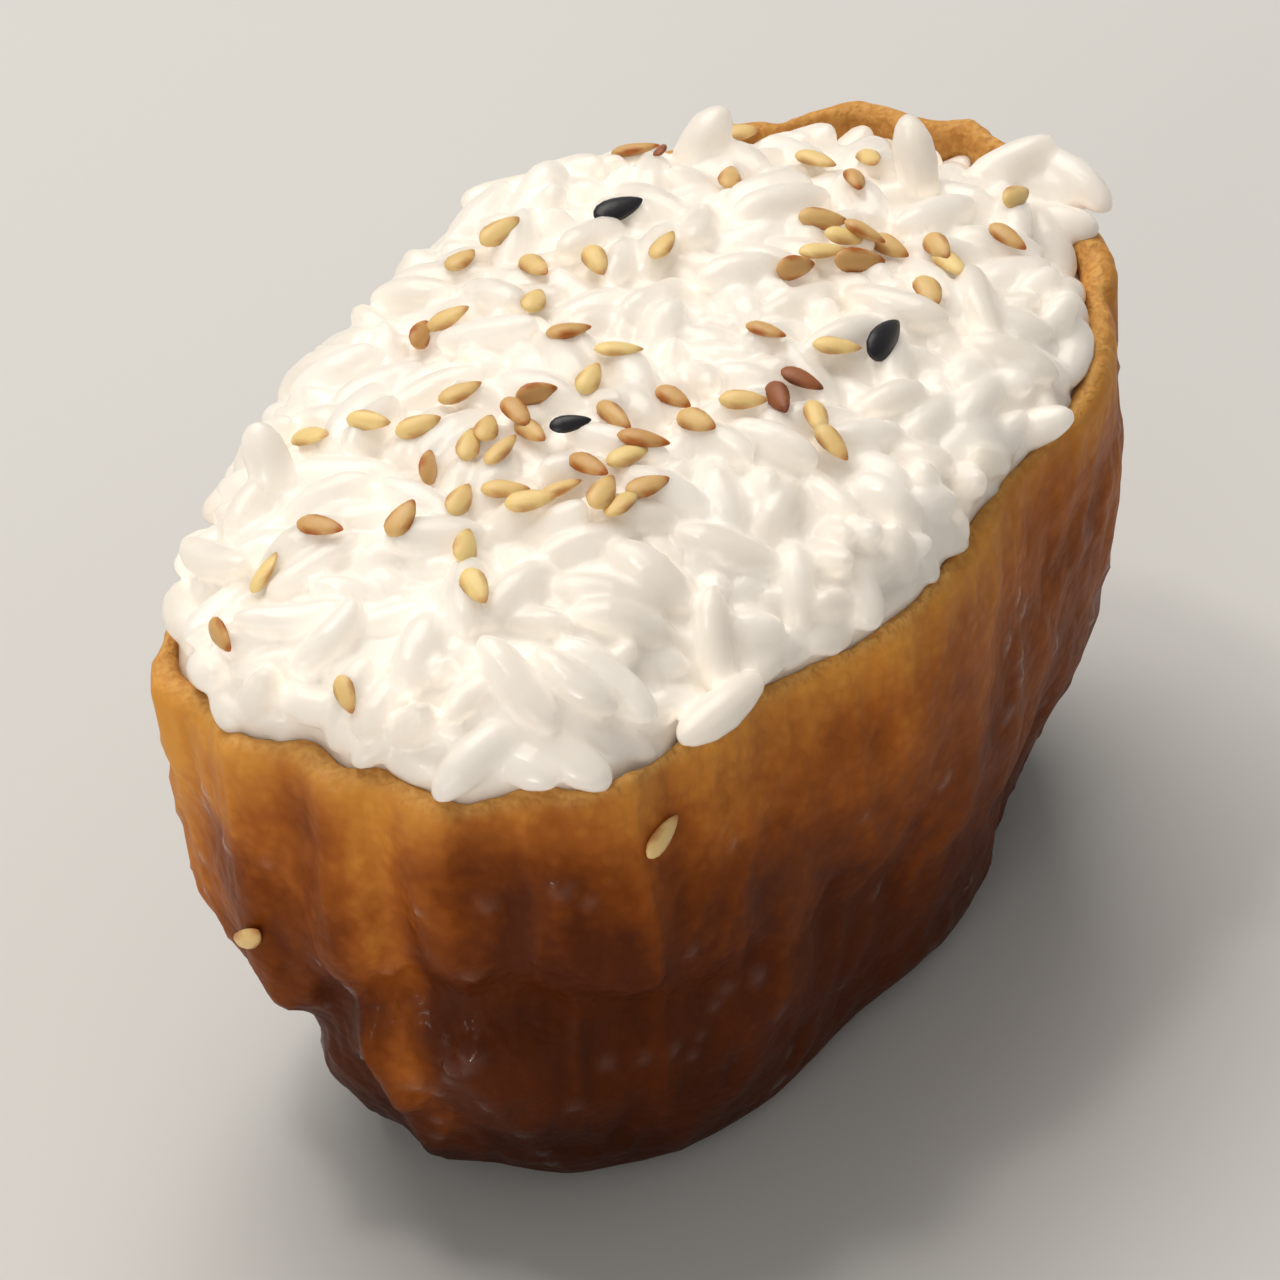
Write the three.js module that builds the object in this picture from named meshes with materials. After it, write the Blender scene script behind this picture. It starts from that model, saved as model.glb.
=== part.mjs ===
// Open-topped inari sushi: a pouch of seasoned fried tofu skin, standing on its folded bottom,
// with a mound of sushi rice that fills it and rises over the rim.
// Millimetres, +Z up, +X along the pouch. The origin is under the middle of the piece, on the face it stands on.
import * as THREE from "three";
import { mergeVertices } from "three/addons/utils/BufferGeometryUtils.js";

// Driving dimensions.
const pouchLength = 72;
const pouchWidth = 42.5;
const rimHeight = 36.5; // where the rim is lowest, at -X
const moundHeight = 8; // rice above the rim
const skin = 0.052; // thickness of the tofu skin, as a share of the pouch's half length
const fillGap = 0.018; // space between skin and rice, as the same kind of share
const floorSkin = 2.2; // skin under the rice
const floorGap = 0.3; // space between that skin and the rice

// Plan of the pouch.
const narrowing = 1.25; // towards the bottom the width shrinks faster than the length
const bluntEnd = 2.8; // fullness of the plan's corners at -X
const roundEnd = 2.2; // and at +X
const bottomFullness = 2.1; // and all round at the bottom
const rimRise = 2.2; // the rim climbs towards +X
const rimDip = 1.1; // and sinks along the two long sides
const riseStart = 6; // height from which the wall stretches with the rim
const lipRoundness = 1.1; // height of the half-round edge of the skin

// Folds of the skin.
const seamHeight = 1.4; // upright fold at each end, where the flat pouch had its side edge
const seamHalfWidth = 2.4;
const seamFade = [27, 33]; // heights between which the fold grows weaker towards the rim
const seamLeft = 0.3; // share of the fold that is left at the rim
const fluteDepth = 0.6; // upright pleats beside those folds
const fluteSpacing = 8.5;
const tuckDepth = 1.6; // crease where the bottom of the pouch tucks in, deepest at -X
const tuckHeight = 20.5;
const tuckHalfHeight = 2.6;
const tuckDrop = 8.5; // it runs lower along +Y
const tuckSlope = 0.22; // and sinks as it runs along the pouch
const footReach = 1.5; // folded corner of the pouch that stands out below the tuck, at each end
const footMiddle = -4.5; // it lies a little to -Y
const footHalfWidth = 6.5;
const footHeight = 12;
const footHalfHeight = 5.5;
const bellyReach = 1.7; // the filling bulges the skin at -X, on the side of +Y
const bellyHeight = 17;
const bellyHalfHeight = 10;
const waveDepth = 0.6; // long soft waves of the two sides
const waveLength = 23;

// The mound is uneven: it bulges over the lip, most along +Y, lies lower than the rim at +X and has soft lumps.
const overLip = 0.4; // space between the lip and the rice that bulges over it
const bulge = 0.975; // how far the rice reaches along +Y, as a share of the pouch's half length
const cover = 0.955; // at -X and along -Y
const snug = 0.925; // and at +X, inside the lip
const sinkDepth = 3; // how far the rice drops at +X
const sinkStart = 30; // height from which the filling drops there
const moundLean = 0.24;
const moundTilt = 0.1;
const lumpPitch = 11;
const lumpRelief = 0.55;

// Fineness and reach of the surface.
const around = 84; // segments round the pouch
const crowding = 0.12; // how far those segments crowd towards the two tight ends
const lipSteps = 6;
const domeSteps = 12;
const flatShare = 0.56; // share of the rim's size inside which the bottom stays flat
const foldShare = 0.78; // and from which the folds have their full depth

const smooth = THREE.MathUtils.smoothstep;
const lerp = THREE.MathUtils.lerp;
const bell = (distance, halfWidth) => Math.exp(-((distance / halfWidth) ** 2));
const wave = (distance, length) => Math.sin((2 * Math.PI * distance) / length);

// Folds, pleats, the tuck, the feet, the belly and the waves, as one outward push in millimetres.
function folds(x, y, z) {
  const endShare = smooth(Math.abs(x), 0.28 * pouchLength, 0.44 * pouchLength);
  const seamShare = 1 - (1 - seamLeft) * smooth(z, ...seamFade);
  const seam = seamHeight * bell(y, seamHalfWidth) * seamShare;
  const flutes = fluteDepth * wave(Math.abs(y) - seamHalfWidth - 0.25 * fluteSpacing, fluteSpacing);
  const tuckLine = tuckHeight - tuckDrop * smooth(y, -3, 10) - tuckSlope * (x + 0.5 * pouchLength);
  const tuckShare = 0.57 - 0.43 * Math.tanh((x + 12) / 10);
  const tuck = -tuckDepth * tuckShare * bell(z - tuckLine, tuckHalfHeight);
  const footShare = smooth(Math.abs(x), 0.22 * pouchLength, 0.34 * pouchLength);
  const footShape = bell(y - footMiddle, footHalfWidth) * bell(z - footHeight, footHalfHeight);
  const bellyShare = smooth(-x, 0, 0.4 * pouchLength) * smooth(y, -8, 8);
  const belly = bellyReach * bellyShare * bell(z - bellyHeight, bellyHalfHeight);
  const waves = waveDepth * wave(x + z / 3, waveLength);
  return (seam + flutes) * endShare + waves * (1 - endShare) + tuck + footReach * footShare * footShape + belly;
}

// How far the rim lies above rimHeight, in the direction of an angle's cosine and sine.
const rimOffset = (cosine, sine) => 0.5 * rimRise * (cosine + 1) - rimDip * sine * sine;

// How far the mound reaches towards a side: over the lip, except at +X.
function moundReach(alongX, alongY) {
  return lerp(lerp(cover, bulge, smooth(alongY, 0.1, 0.7)), snug, smooth(alongX, 0.25, 0.5));
}

// Turns a round lathe into the pouch's plan: a superellipse, fuller at -X and narrower below,
// with the rim's rise and dip and the folds of the skin. Above neck the points draw in to the
// mound's reach, and shapeTop gives each point its final height.
function toPouchPlan(geometry, shapeTop, neck = Infinity) {
  const position = geometry.getAttribute("position");
  const outward = new THREE.Vector2();
  for (let i = 0; i < position.count; i += 1) {
    const roundSize = Math.hypot(position.getX(i), position.getZ(i));
    const turn = roundSize > 1e-6 ? Math.atan2(position.getZ(i), position.getX(i)) : 0;
    const angle = turn - crowding * Math.sin(2 * turn);
    const cosine = Math.cos(angle);
    const sine = Math.sin(angle);
    const height = position.getY(i);
    const rimFullness = lerp(bluntEnd, roundEnd, 0.5 + 0.5 * cosine);
    const fullness = lerp(bottomFullness, rimFullness, smooth(roundSize, flatShare, 1));
    const alongX = Math.sign(cosine) * Math.abs(cosine) ** (2 / fullness);
    const alongY = -Math.sign(sine) * Math.abs(sine) ** (2 / fullness);
    const size = height > neck ? (roundSize * moundReach(alongX, alongY)) / bulge : roundSize;
    const planX = 0.5 * pouchLength * size * alongX;
    const planY = 0.5 * pouchWidth * size ** narrowing * alongY;
    const push = folds(planX, planY, height) * smooth(size, flatShare, foldShare);
    const rise = rimOffset(cosine, sine) * smooth(height, riseStart, rimHeight);
    outward.set(planX, planY).normalize();
    position.setXYZ(
      i,
      planX + outward.x * push,
      planY + outward.y * push,
      shapeTop(planX, planY, height, rise),
    );
  }
  geometry.deleteAttribute("normal");
  geometry.deleteAttribute("uv");
  const closed = mergeVertices(geometry); // joins the two edges of the lathe and its poles
  closed.computeVertexNormals();
  return closed;
}

// Outer wall from the flat bottom to the rim: [share of the rim's half length, height].
const outerWall = [
  [0, 0],
  [0.32, 0],
  [0.62, 0],
  [0.735, 0.9],
  [0.79, 3.2],
  [0.823, 6.2],
  [0.85, 8.8],
  [0.882, 11.8],
  [0.924, 15.5],
  [0.945, 18],
  [0.961, 20.5],
  [0.974, 23],
  [0.985, 26],
  [0.998, 31.5],
];
const floorShare = 0.56; // where the floor inside the pouch meets its wall

// Half-round lip between the outer and the inner face of the skin.
function lip() {
  const radius = 0.5 * skin;
  const points = [];
  for (let i = 0; i <= lipSteps; i += 1) {
    const turn = (Math.PI * i) / lipSteps;
    const height = rimHeight - lipRoundness * (1 - Math.sin(turn));
    points.push([1 - radius + radius * Math.cos(turn), height]);
  }
  return points;
}

// The inner wall is the outer one moved in by an inset, from the floor of the pouch up to the lip.
const innerWall = (inset, floor) =>
  outerWall.filter(([, height]) => height > floor + 0.5).map(([share, height]) => [share - inset, height]);

// Turns an outline of [share, height] into a closed solid in the pouch's plan.
function revolve(outline, shapeTop, neck) {
  const points = outline.map(([share, height]) => new THREE.Vector2(share, height));
  return toPouchPlan(new THREE.LatheGeometry(points, around), shapeTop, neck);
}

// The outline runs from the axis under the pouch, over the lip, to the axis inside it.
function makePouch() {
  const outline = [
    ...outerWall,
    ...lip(),
    ...innerWall(skin, floorSkin).reverse(),
    [floorShare, floorSkin],
    [0, floorSkin],
  ];
  return revolve(outline, (x, y, height, rise) => height + rise);
}

// Rice: the pouch's inside less a gap, then a muffin-shaped top that bulges over the lip without touching it.
function makeRice() {
  const inset = skin + fillGap;
  const base = floorSkin + floorGap;
  const neck = rimHeight + overLip;
  const dome = [];
  for (let i = 0; i < domeSteps; i += 1) {
    const turn = (0.5 * Math.PI * i) / domeSteps;
    dome.push([bulge * Math.cos(turn) ** 0.8, lerp(neck + 1, rimHeight + moundHeight, Math.sin(turn))]);
  }
  const outline = [
    [0, base],
    [floorShare - fillGap, base],
    ...innerWall(inset, base),
    [1 - inset, neck],
    ...dome,
    [0, rimHeight + moundHeight],
  ];
  const shapeMound = (x, y, height, rise) => {
    const above = Math.max(0, height - neck) / moundHeight; // 0 at the lip, 1 on top
    const lean = (-moundLean * x) / (0.5 * pouchLength) + (moundTilt * y) / (0.5 * pouchWidth);
    const lumps = lumpRelief * wave(x + 0.4 * y, lumpPitch) * wave(y - 0.3 * x + 1.4, lumpPitch);
    const sink = sinkDepth * smooth(x, 0.25 * pouchLength, 0.42 * pouchLength) * (1 - 0.6 * above);
    return (
      height +
      rise * (1 - above) +
      above * moundHeight * lean +
      lumps * smooth(above, 0.1, 0.4) -
      sink * smooth(height, sinkStart, neck)
    );
  };
  return revolve(outline, shapeMound, neck);
}

const tofuSkin = new THREE.MeshStandardMaterial({ color: 0xb3702c, roughness: 0.45, metalness: 0 });
const sushiRice = new THREE.MeshStandardMaterial({ color: 0xf2efe8, roughness: 0.5, metalness: 0 });

const inari = new THREE.Group();

const pouch = new THREE.Mesh(makePouch(), tofuSkin);
pouch.name = "pouch";
inari.add(pouch);

const rice = new THREE.Mesh(makeRice(), sushiRice);
rice.name = "rice";
inari.add(rice);

// The folds are uneven, so the piece is moved to stand over its own middle.
const extent = new THREE.Box3().setFromObject(inari, true);
const middle = extent.getCenter(new THREE.Vector3());
inari.position.set(-middle.x, -middle.y, -extent.min.z);

export default inari;
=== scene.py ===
import itertools
import math

import bpy
import numpy as np
from mathutils import Matrix, Vector
from mathutils.bvhtree import BVHTree


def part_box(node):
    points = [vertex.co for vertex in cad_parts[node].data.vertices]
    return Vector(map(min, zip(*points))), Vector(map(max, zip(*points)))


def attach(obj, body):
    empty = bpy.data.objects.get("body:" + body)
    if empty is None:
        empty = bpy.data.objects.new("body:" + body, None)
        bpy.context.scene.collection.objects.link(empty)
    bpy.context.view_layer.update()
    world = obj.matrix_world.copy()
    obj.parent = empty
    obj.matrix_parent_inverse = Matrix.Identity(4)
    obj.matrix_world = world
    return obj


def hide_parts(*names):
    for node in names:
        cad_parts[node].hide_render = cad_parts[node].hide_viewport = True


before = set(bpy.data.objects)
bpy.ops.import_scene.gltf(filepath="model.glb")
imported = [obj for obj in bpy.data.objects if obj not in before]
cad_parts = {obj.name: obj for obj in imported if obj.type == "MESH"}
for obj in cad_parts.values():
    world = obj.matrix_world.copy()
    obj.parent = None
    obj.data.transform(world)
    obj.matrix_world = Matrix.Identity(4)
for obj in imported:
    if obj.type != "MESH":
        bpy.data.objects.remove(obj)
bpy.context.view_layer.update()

# Open-topped inari sushi: a pouch of seasoned fried tofu skin with a mound of rice under sesame seeds.
# Shapes are worked out in millimetres and put into the meshes in metres.
mm = 0.001
scene = bpy.context.scene

noiseEntries = 8192  # random numbers that one noise picks from
noisePrimes = (73856093, 19349663, 83492791)  # these scatter the picks
latticeTurn = np.array(Matrix.Rotation(0.9, 3, Vector((1, 2, 3))))  # keeps layers of noise out of line


# small tools

def hexColour(text):
    # sRGB hex to linear RGBA
    channels = np.array([int(text[i:i + 2], 16) for i in (1, 3, 5)]) / 255
    linear = np.where(channels <= 0.04045, channels / 12.92, ((channels + 0.055) / 1.055) ** 2.4)
    return (*linear.tolist(), 1.0)


def smoothStep(value, low, high):
    # 0 up to low, 1 from high, an S-shaped curve between
    share = np.clip((value - low) / (high - low), 0, 1)
    return share * share * (3 - 2 * share)


def bell(distance, halfWidth):
    # 1 in the middle, about a third at the half width
    return np.exp(-(distance / halfWidth) ** 2)


def wave(distance, length):
    return np.sin(2 * np.pi * distance / length)


def unit(vectors):
    return vectors / np.maximum(np.linalg.norm(vectors, axis=-1, keepdims=True), 1e-9)


def turnTo(angle, other):
    # smallest turn between two angles
    return np.arctan2(np.sin(angle - other), np.cos(angle - other))


def softNoise(points, size, seed):
    # a random number at each corner of a lattice of that size, blended smoothly in between, from -1 to 1
    table = np.random.default_rng(seed).uniform(-1, 1, noiseEntries)
    grid = points / size
    cell = np.floor(grid).astype(np.int64)
    blend = grid - cell
    blend = blend ** 3 * (blend * (blend * 6 - 15) + 10)
    total = np.zeros(points.shape[:-1])
    for corner in itertools.product((0, 1), repeat=3):
        key = np.bitwise_xor.reduce((cell + corner) * noisePrimes, axis=-1) % noiseEntries
        total += table[key] * np.prod(np.where(corner, blend, 1 - blend), axis=-1)
    return total


def layeredNoise(points, size, seed, layers=3):
    # each layer is half as large and half as strong as the one before, on a lattice turned further
    total = 0
    for layer in range(layers):
        points = points @ latticeTurn.T
        total = total + softNoise(points, size / 2 ** layer, seed + layer) / 2 ** layer
    return total


def naturalSpread(rng, count):
    # length, width and thickness of grown things, as shares of the usual ones
    return rng.normal(1, 0.07, (count, 3)).clip(0.84, 1.16)


def smoothCurve(points, count, finer=24):
    # Catmull-Rom curve through the points, sampled at equal steps of its length
    ends = np.vstack([2 * points[0] - points[1], points, 2 * points[-1] - points[-2]])
    place = np.linspace(0, len(points) - 1, finer * len(points))
    start = np.minimum(place.astype(int), len(points) - 2)
    t = (place - start)[:, None]
    a, b, c, d = (ends[start + k] for k in range(4))
    fine = b + 0.5 * t * (c - a + t * (2 * a - 5 * b + 4 * c - d + t * (3 * (b - c) + d - a)))
    along = np.concatenate([[0], np.cumsum(np.linalg.norm(np.diff(fine, axis=0), axis=1))])
    even = np.linspace(0, along[-1], count)
    return np.column_stack([np.interp(even, along, column) for column in fine.T])


def ringFaces(rings, columns):
    # first pole, rings of points that run anticlockwise seen from the last pole, last pole
    ring = 1 + np.arange(rings - 1)[:, None] * columns
    here, after = np.arange(columns), (np.arange(columns) + 1) % columns
    quads = np.stack([ring + here, ring + after, ring + columns + after, ring + columns + here], -1)
    last = 1 + rings * columns
    first = np.stack([0 * here, after + 1, here + 1], -1)
    end = np.stack([0 * here + last, last - columns + here, last - columns + after], -1)
    return quads.reshape(-1, 4), np.vstack([first, end])


def ringBody(first, rings, last):
    # vertices, quads and triangles of rings between two poles
    return np.vstack([[first], rings.reshape(-1, 3), [last]]), *ringFaces(*rings.shape[:2])


def roundedBody(along, radius, ridge=0.0, columns=12):
    # unit body along X: rings of some radius, flatter beside a ridge, and a point at each end
    turn = 2 * np.pi * np.arange(columns) / columns
    flatness = 1 - ridge + ridge * abs(np.sin(turn))
    ring = np.stack(np.broadcast_arrays(
        along[:, None], radius[:, None] * np.cos(turn), radius[:, None] * np.sin(turn) * flatness), -1)
    return ringBody((-1, 0, 0), ring, (1, 0, 0))


def joinCopies(shape, quads, triangles, centre, axes, sizes):
    # one shape copied to every centre, turned by its axes and scaled by its sizes
    points = np.einsum("vk,nk,nkj->nvj", shape, sizes, axes) + centre[:, None]
    step = (np.arange(len(centre)) * len(shape))[:, None, None]
    return points, (quads + step).reshape(-1, 4), (triangles + step).reshape(-1, 3)


def addObject(name, data):
    thing = bpy.data.objects.new(name, data)
    scene.collection.objects.link(thing)
    return thing


def addValues(mesh, key, values):
    # one number for each vertex, for the material to read
    mesh.attributes.new(key, "FLOAT", "POINT").data.foreach_set("value", values.astype(np.float32))


def makePiece(name, vertices, quads, triangles, material, slot, **attributes):
    # vertices in millimetres
    mesh = bpy.data.meshes.new(name)
    mesh.from_pydata((vertices * mm).tolist(), [], quads.tolist() + triangles.tolist())
    mesh.polygons.foreach_set("use_smooth", np.ones(len(mesh.polygons), bool))
    for key, values in attributes.items():
        addValues(mesh, key, values)
    mesh.materials.append(material)
    mesh.validate()
    piece = addObject(name, mesh)
    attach(piece, "root")
    return piece


def treeOf(points, *faces):
    # for finding where rays meet a surface
    return BVHTree.FromPolygons(points.tolist(), [face for group in faces for face in group.tolist()])


def ringTree(rings):
    return treeOf(rings.reshape(-1, 3), ringFaces(*rings.shape[:2])[0] - 1)


def meshCorners(mesh):
    # a mesh's vertices in millimetres
    corners = np.empty(3 * len(mesh.vertices))
    mesh.vertices.foreach_get("co", corners)
    return corners.reshape(-1, 3) / mm


def meshTree(mesh):
    return BVHTree.FromPolygons(meshCorners(mesh).tolist(), [list(face.vertices) for face in mesh.polygons])


def addNode(tree, kind, inputs=None, **settings):
    # adds a node with its settings, and fills or links its sockets; a node stands for its first output
    node = tree.nodes.new("ShaderNode" + kind)
    for key, value in settings.items():
        setattr(node, key, value)
    for key, value in (inputs or {}).items():
        value = value.outputs[0] if isinstance(value, bpy.types.Node) else value
        if isinstance(value, bpy.types.NodeSocket):
            tree.links.new(value, node.inputs[key])
        else:
            node.inputs[key].default_value = value
    return node


def newMaterial(name):
    material = bpy.data.materials.new(name)
    material.use_nodes = True
    material.node_tree.nodes.clear()
    return material, material.node_tree


def setStops(ramp, stops):
    while len(ramp.elements) < len(stops):
        ramp.elements.new(1.0)
    for element, (place, colour) in zip(ramp.elements, stops):
        element.position, element.color = place, hexColour(colour)


# the eye, along whose lines of sight seeds, wet blisters and loose grains are placed

view = {
    "position": (-374.4, -252.6, 360.3),  # mm
    "aim": (0.6616, 0.4511, -0.5991),
    "up": (0.5063, 0.2560, 0.8235),
    "angle": 7.9,  # degrees across the frame
    "middle": (577, 752), "across": 360,  # of the frame, in the pixels that places are given in
}
eye = np.array(view["position"])
viewAhead = unit(np.array(view["aim"]))
viewRight = unit(np.cross(viewAhead, view["up"]))
viewUp = np.cross(viewRight, viewAhead)


def sightLine(u, v):
    # direction from the eye through a pixel
    reach = 0.5 * view["across"] / math.tan(math.radians(0.5 * view["angle"]))
    return unit(viewAhead * reach + viewRight * (u - view["middle"][0]) + viewUp * (view["middle"][1] - v))


def levelSpot(u, v, z):
    # where the line of sight is at a height
    way = sightLine(u, v)
    return eye + way * (z - eye[2]) / way[2]


def seenSpot(u, v, trees):
    # nearest point of several surfaces on the line of sight, with the surface it lies on
    # a pixel just above the outline is lowered until it meets one
    hits = []
    while not hits:
        way = Vector(sightLine(u, v))
        cast = [(tree.ray_cast(Vector(eye), way), tree) for tree in trees]
        hits = [(hit[3], np.array(hit[0]), tree) for hit, tree in cast if hit[0]]
        v += 1
    return min(hits, key=lambda hit: hit[0])[1:]


# pouch

pouch = {  # mm; the form is the CAD's, and the rice follows it
    # plan and wall
    "foldReach": (1.17, 0.504),  # how far folds stand out beyond the plan, at its ends and sides
    "narrowing": 1.25,  # towards the bottom the width shrinks faster than the length
    "bluntEnd": 2.8, "roundEnd": 2.2, "bottom": 2.1,  # fullness of the plan at -X, at +X and at the bottom
    "flatShare": 0.56,  # share of the rim's size inside which the bottom stays flat
    "foldShare": 0.78,  # and from which the folds have their full depth
    "crowding": 0.12,  # how far the columns crowd towards the two tight ends
    "outerWall": [  # share of the rim's half length, height
        (0, 0), (0.32, 0), (0.62, 0), (0.735, 0.9), (0.79, 3.2), (0.823, 6.2), (0.85, 8.8),
        (0.882, 11.8), (0.924, 15.5), (0.945, 18), (0.961, 20.5), (0.974, 23), (0.985, 26), (0.998, 31.5)],
    "skin": 0.052,  # thickness, as a share of half the length
    "lipRoundness": 1.1,
    "floorSkin": 2.2, "floorShare": 0.56,  # thickness of the floor, and where it meets the wall inside
    # rim
    "rimRise": 2.2,  # it climbs towards +X
    "rimDip": 1.1,  # and sinks along the sides
    "riseStart": 6,  # height from which the wall stretches with it
    "rimPushes": [(2.51, 0.38, 1.4), (-2.15, 0.26, -2.2)],  # angle, half width, mm: a corner out, a side in
    "pushStart": 22,  # height from which the wall follows
    # folds
    "endZone": (0.28, 0.44),  # shares of the length between which the sides turn into the ends
    "seam": (1.4, 2.4), "seamFade": (27, 33), "seamLeft": 0.3,  # height and half width; weaker at the rim
    "flutes": (0.6, 8.5),  # depth and spacing of the upright pleats beside it
    "tuck": (1.6, 20.5, 2.6),  # depth, height and half height of the crease above the folded bottom
    "tuckDrop": 8.5, "tuckDropZone": (-3, 10),  # it runs lower along +Y
    "tuckSlope": 0.22,  # and away from -X
    "tuckShares": (0.57, 0.43), "tuckFade": (-12, 10),  # mean depth and swing; where along X, and how slowly
    "foot": (1.5, -4.5, 6.5, 12, 5.5), "footZone": (0.22, 0.34),  # reach, y, half width, height, half height
    "belly": (1.7, 17, 10), "bellyZone": (0, 0.4), "bellySide": (-8, 8),  # reach, height, half height
    "waves": (0.6, 23, 3),  # depth, length, and a lean of 1 in 3
    "drift": (1.5, 13),  # the folds stray by up to this much, over this size, so none runs straight
    # wrinkles
    "wrinkles": {  # depth, size, stretch in Z, random seed, layers
        "dents": (0.4, 9, 1, 11, 3), "pleats": (0.26, 4.4, 4.5, 23, 2),
        "crinkles": (0.11, 1.9, 1.8, 29, 2), "sponge": (0.08, 2.6, 1, 37, 2)},
    "ridged": ("pleats", "crinkles"),
    "wrinkleStart": (0.2, 4),  # heights over which they begin, above the flat bottom
    "innerCalm": 0.5,  # the inner wall has this much less
    "ragged": (0.5, 6, -0.4), "raggedDepth": 5,  # height, size, shift and reach of the uneven lip
    # fineness
    "columns": 470, "rows": (120, 13, 34, 8),  # of the outer wall, lip, inner wall and floor
    "poleShare": 0.03,  # size of the floor's last ring
}

soak = {  # how brown the skin is, from 0 to 1: the syrup's soak, with painted shade added low down, below the rim and in creases; places in mm
    "rim": 0.05,
    "edge": 0.13, "rimShadeDepth": (0.8, 3.5),  # painted shade, from just below the rim
    "paleCorner": 0.8, "paleSide": (5, 12),  # but the corner at -X and +Y lacks this share of that painted shade
    "wall": 1.05,  # more still, by the bottom: partly the syrup, partly painted shade
    "cloud": 0.12, "cloudSize": 15,
    # paler on crests and folds, darker in dents and in the tuck's crease: partly painted shade
    "crest": -0.13, "crests": {"dents": 0.4, "pleats": 0.5, "crinkles": 0.25}, "foldHeight": 2.2,
    "seam": -0.26, "seams": [(-2.1, 1.5, 1), (14, 2.5, 0.5)], "seamDepth": (0, 4),  # y, half width, strength
    "end": (20, 30),  # distances towards -X between which the marks of that end begin
    "patches": [  # y, height, half width and half height there; minus is paler
        (-1.8, 12, 4, 5, -0.08), (8.6, 31, 3, 3, -0.1), (2.5, 34, 2.6, 2.6, 0.12), (-8, 33, 4.5, 4, 0.13),
        (6, 21, 4, 4, 0.07), (-1, 4, 9, 3.5, 0.22)],
    "far": -0.3, "farZone": (-25, -10),  # the rest of the pouch is paler by this share, so it carries less of the painted shade
    "inside": 0.15,
    "cutFade": 0.35, "cutInside": 0.3,  # mm that the sponge shows below the rim, and its share inside
}

blisters = {  # small and full of syrup, so that they catch the light; mm
    "seen": [(534, 826), (555, 822), (507, 844), (530, 846), (530, 869), (515, 876), (524, 872), (521, 878)],
    "scattered": 150,
    "radii": ((0.6, 0.8), (0.35, 0.6)),  # of the seen and of the scattered ones
    "steepness": (0.8, 0.45),  # height as a share of the radius
    "margin": 3,  # the scattered ones keep clear of the bottom and of the rim
}

pouchLow, pouchHigh = (np.array(corner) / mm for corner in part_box("pouch"))
pouchLength, pouchWidth = (pouchHigh - pouchLow)[:2] - 2 * np.array(pouch["foldReach"])
rimHeight = pouchHigh[2] - pouch["rimRise"]
outerWall = np.array(pouch["outerWall"])


def lengthStep(x, zone):
    # 0 to 1 between two places along X, given as shares of the length
    return smoothStep(x, zone[0] * pouchLength, zone[1] * pouchLength)


def folds(x, y, z):
    # seam and pleats at the ends, waves along the sides, tuck, feet and belly, as one outward push
    endShare = lengthStep(abs(x), pouch["endZone"])
    height, halfWidth = pouch["seam"]
    seamShare = 1 - (1 - pouch["seamLeft"]) * smoothStep(z, *pouch["seamFade"])
    seam = height * bell(y, halfWidth) * seamShare
    depth, spacing = pouch["flutes"]
    flutes = depth * wave(abs(y) - halfWidth - 0.25 * spacing, spacing)
    depth, height, halfHeight = pouch["tuck"]
    tuckLine = height - pouch["tuckDrop"] * smoothStep(y, *pouch["tuckDropZone"])
    tuckLine = tuckLine - pouch["tuckSlope"] * (x + 0.5 * pouchLength)
    (mean, swing), (place, reach) = pouch["tuckShares"], pouch["tuckFade"]
    tuck = -depth * (mean - swing * np.tanh((x - place) / reach)) * bell(z - tuckLine, halfHeight)
    reach, place, halfWidth, height, halfHeight = pouch["foot"]
    foot = reach * lengthStep(abs(x), pouch["footZone"]) * bell(y - place, halfWidth)
    foot = foot * bell(z - height, halfHeight)
    reach, height, halfHeight = pouch["belly"]
    bellyShare = lengthStep(-x, pouch["bellyZone"]) * smoothStep(y, *pouch["bellySide"])
    belly = reach * bellyShare * bell(z - height, halfHeight)
    depth, length, lean = pouch["waves"]
    waves = depth * wave(x + z / lean, length)
    return (seam + flutes) * endShare + waves * (1 - endShare) + tuck + foot + belly


def planDirection(angle, size):
    # superellipse, fuller at -X and nearly round at the bottom
    cosine, sine = np.cos(angle), np.sin(angle)
    rimFullness = pouch["bluntEnd"] + (pouch["roundEnd"] - pouch["bluntEnd"]) * (0.5 + 0.5 * cosine)
    share = smoothStep(size, pouch["flatShare"], 1)
    fullness = pouch["bottom"] + (rimFullness - pouch["bottom"]) * share
    return [np.sign(part) * abs(part) ** (2 / fullness) for part in (cosine, sine)]


def pouchPoints(angle, size, height):
    # the plan's direction times the size, pushed out by the folds, with the rim's rise and dip
    alongX, alongY = planDirection(angle, size)
    x = 0.5 * pouchLength * size * alongX
    y = 0.5 * pouchWidth * size ** pouch["narrowing"] * alongY
    plan = np.stack([x, y, height], -1)
    stray, driftSize = pouch["drift"]
    drift = stray * np.stack([softNoise(plan, driftSize, seed) for seed in (101, 102, 103)])
    push = folds(x + drift[0], y + drift[1], height + drift[2])
    push = push * smoothStep(size, pouch["flatShare"], pouch["foldShare"])
    rimPush = sum(reach * bell(turnTo(angle, place), width) for place, width, reach in pouch["rimPushes"])
    push = push + rimPush * size * smoothStep(height, pouch["pushStart"], rimHeight)
    length = np.maximum(np.hypot(x, y), 1e-6)
    offset = 0.5 * pouch["rimRise"] * (np.cos(angle) + 1) - pouch["rimDip"] * np.sin(angle) ** 2
    rise = offset * smoothStep(height, pouch["riseStart"], rimHeight)
    return np.stack([x + x / length * push, y + y / length * push, height + rise], -1)


def evenAngles(count):
    # angles round the plan, closer together at its two tight ends
    turn = 2 * np.pi * np.arange(count) / count
    return turn - pouch["crowding"] * np.sin(2 * turn)


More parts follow.
